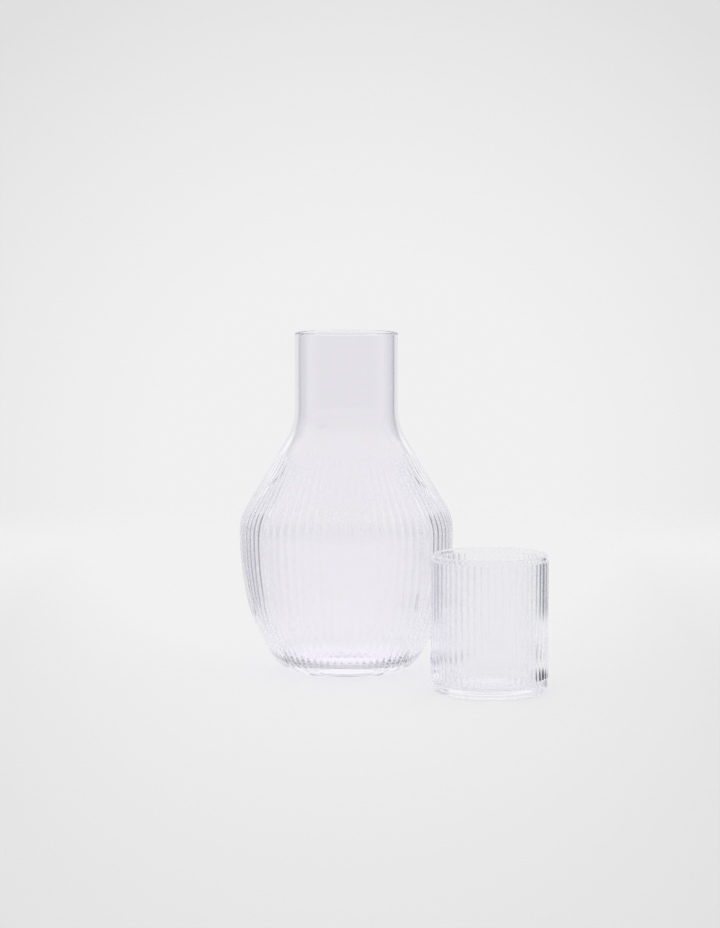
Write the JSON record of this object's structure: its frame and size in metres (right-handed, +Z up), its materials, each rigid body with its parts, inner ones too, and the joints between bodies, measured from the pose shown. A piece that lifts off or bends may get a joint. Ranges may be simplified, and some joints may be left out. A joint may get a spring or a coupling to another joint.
{
  "type": "bedside carafe with tumbler",
  "caption": "Ribbed clear-glass bedside carafe with a smooth straight neck, and a ribbed straight-sided tumbler that stands beside it and fits upside down over the neck.",
  "frame": {"origin": "middle of the ring that the carafe stands on, at table height", "axes": "+Z up along the carafe's axis; the tumbler stands to the right and front, towards +X and -Y, and the front is -Y"},
  "size_m": [0.1685, 0.1601, 0.19],
  "materials": {
    "carafe_glass": "clear, polished, faint lavender-grey in the thickness",
    "tumbler_glass": "clear, polished, faint lavender-grey in the thickness"
  },
  "bodies": {
    "carafe": {"carafe": "carafe_glass"},
    "tumbler": {"tumbler": "tumbler_glass"}
  },
  "joints": [
    {"name": "tumbler_lift", "type": "slide", "parent": "carafe", "child": "tumbler", "axis": [0, 0, 1], "range_m": [0, 0.22]}
  ]
}
